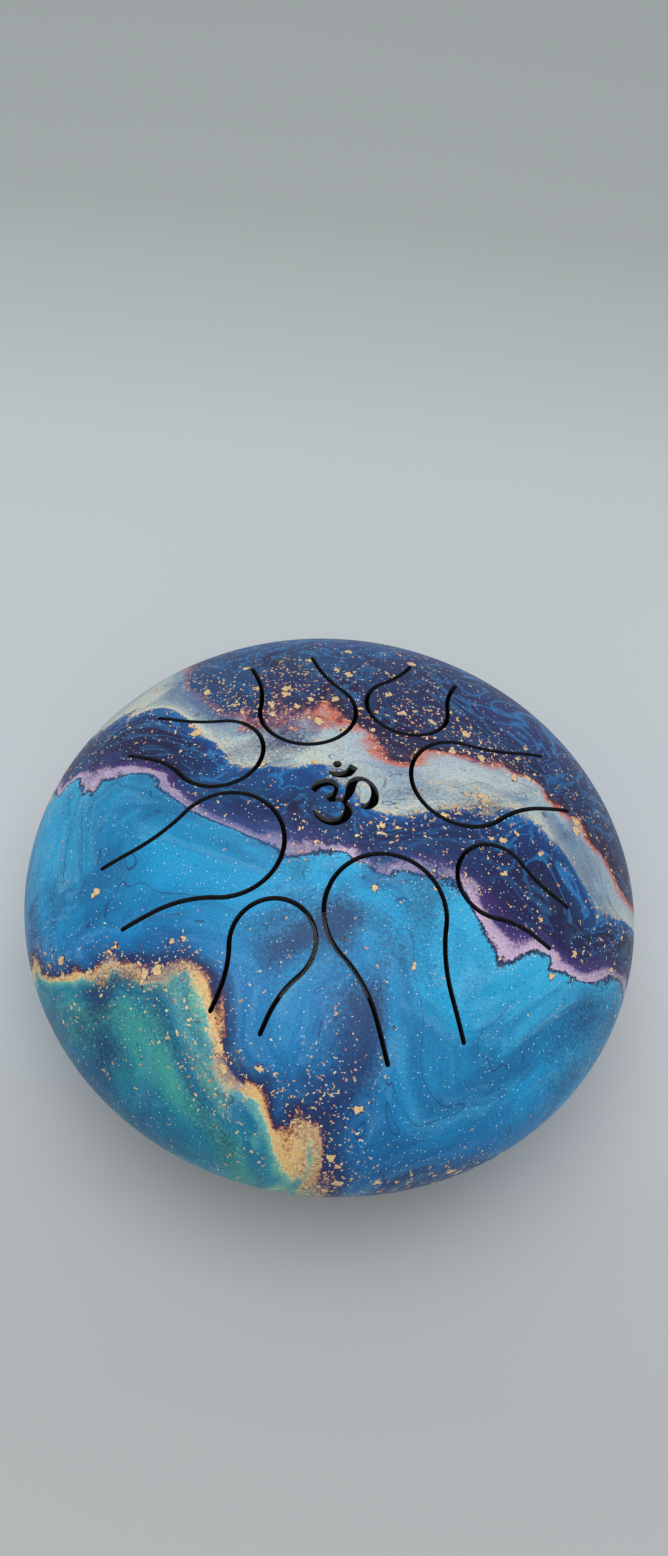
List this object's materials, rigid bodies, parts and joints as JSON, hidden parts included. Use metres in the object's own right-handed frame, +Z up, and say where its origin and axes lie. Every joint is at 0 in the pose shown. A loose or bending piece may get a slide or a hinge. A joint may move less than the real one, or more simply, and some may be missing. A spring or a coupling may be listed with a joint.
{
  "type": "tongue drum",
  "caption": "Small round steel drum of two welded bowls, with sprung tongues and a sign cut in its top, a sound port below and rubber feet.",
  "frame": {"origin": "on the surface that the feet stand on, under the middle of the drum", "axes": "+Z up through the middle of the drum, -Y towards the player, with the longest tongue at the front right"},
  "size_m": [0.152, 0.152, 0.0835],
  "materials": {
    "printed_lacquer": "satin printed lacquer over steel, marbled in blue, violet, cream and gold",
    "ground_weld": "weld ground flush under the same lacquer",
    "black_rubber": "moulded, matt",
    "zinc_plate": "bright zinc plate"
  },
  "bodies": {
    "shell": {"top_shell": "printed_lacquer", "rim_weld": "ground_weld", "bottom_shell": "printed_lacquer", "foot_1": "black_rubber", "foot_2": "black_rubber", "foot_3": "black_rubber", "foot_washer_1": "zinc_plate", "foot_washer_2": "zinc_plate", "foot_washer_3": "zinc_plate", "foot_screw_1": "zinc_plate", "foot_screw_2": "zinc_plate", "foot_screw_3": "zinc_plate"},
    "tongue_1": {"tongue_1": "printed_lacquer"},
    "tongue_2": {"tongue_2": "printed_lacquer"},
    "tongue_3": {"tongue_3": "printed_lacquer"},
    "tongue_4": {"tongue_4": "printed_lacquer"},
    "tongue_5": {"tongue_5": "printed_lacquer"},
    "tongue_6": {"tongue_6": "printed_lacquer"},
    "tongue_7": {"tongue_7": "printed_lacquer"},
    "tongue_8": {"tongue_8": "printed_lacquer"}
  },
  "joints": [
    {"name": "tongue_1_flex", "type": "hinge", "parent": "shell", "child": "tongue_1", "pos_m": [0.02195, -0.05298, 0.06729], "axis": [-0.9239, -0.3827, 0], "range_deg": [-1, 1], "stiffness_Nm_per_rad": 53.3},
    {"name": "tongue_2_flex", "type": "hinge", "parent": "shell", "child": "tongue_2", "pos_m": [0.05113, -0.01963, 0.06896], "axis": [-0.3584, -0.9336, 0], "range_deg": [-1, 1], "stiffness_Nm_per_rad": 52.6},
    {"name": "tongue_3_flex", "type": "hinge", "parent": "shell", "child": "tongue_3", "pos_m": [0.05077, 0.02051, 0.06896], "axis": [0.3746, -0.9272, 0], "range_deg": [-1, 1], "stiffness_Nm_per_rad": 56.9},
    {"name": "tongue_4_flex", "type": "hinge", "parent": "shell", "child": "tongue_4", "pos_m": [0.02019, 0.04873, 0.07014], "axis": [0.9239, -0.3827, 0], "range_deg": [-1, 1], "stiffness_Nm_per_rad": 37.9},
    {"name": "tongue_5_flex", "type": "hinge", "parent": "shell", "child": "tongue_5", "pos_m": [-0.01777, 0.04752, 0.07124], "axis": [0.9367, 0.3502, 0], "range_deg": [-1, 1], "stiffness_Nm_per_rad": 41.2},
    {"name": "tongue_6_flex", "type": "hinge", "parent": "shell", "child": "tongue_6", "pos_m": [-0.04905, 0.02235, 0.06948], "axis": [0.4147, 0.91, 0], "range_deg": [-1, 1], "stiffness_Nm_per_rad": 41.1},
    {"name": "tongue_7_flex", "type": "hinge", "parent": "shell", "child": "tongue_7", "pos_m": [-0.05055, -0.02251, 0.0686], "axis": [-0.4067, 0.9135, 0], "range_deg": [-1, 1], "stiffness_Nm_per_rad": 50.2},
    {"name": "tongue_8_flex", "type": "hinge", "parent": "shell", "child": "tongue_8", "pos_m": [-0.01997, -0.05068, 0.06913], "axis": [-0.9304, 0.3665, 0], "range_deg": [-1, 1], "stiffness_Nm_per_rad": 44.8}
  ]
}
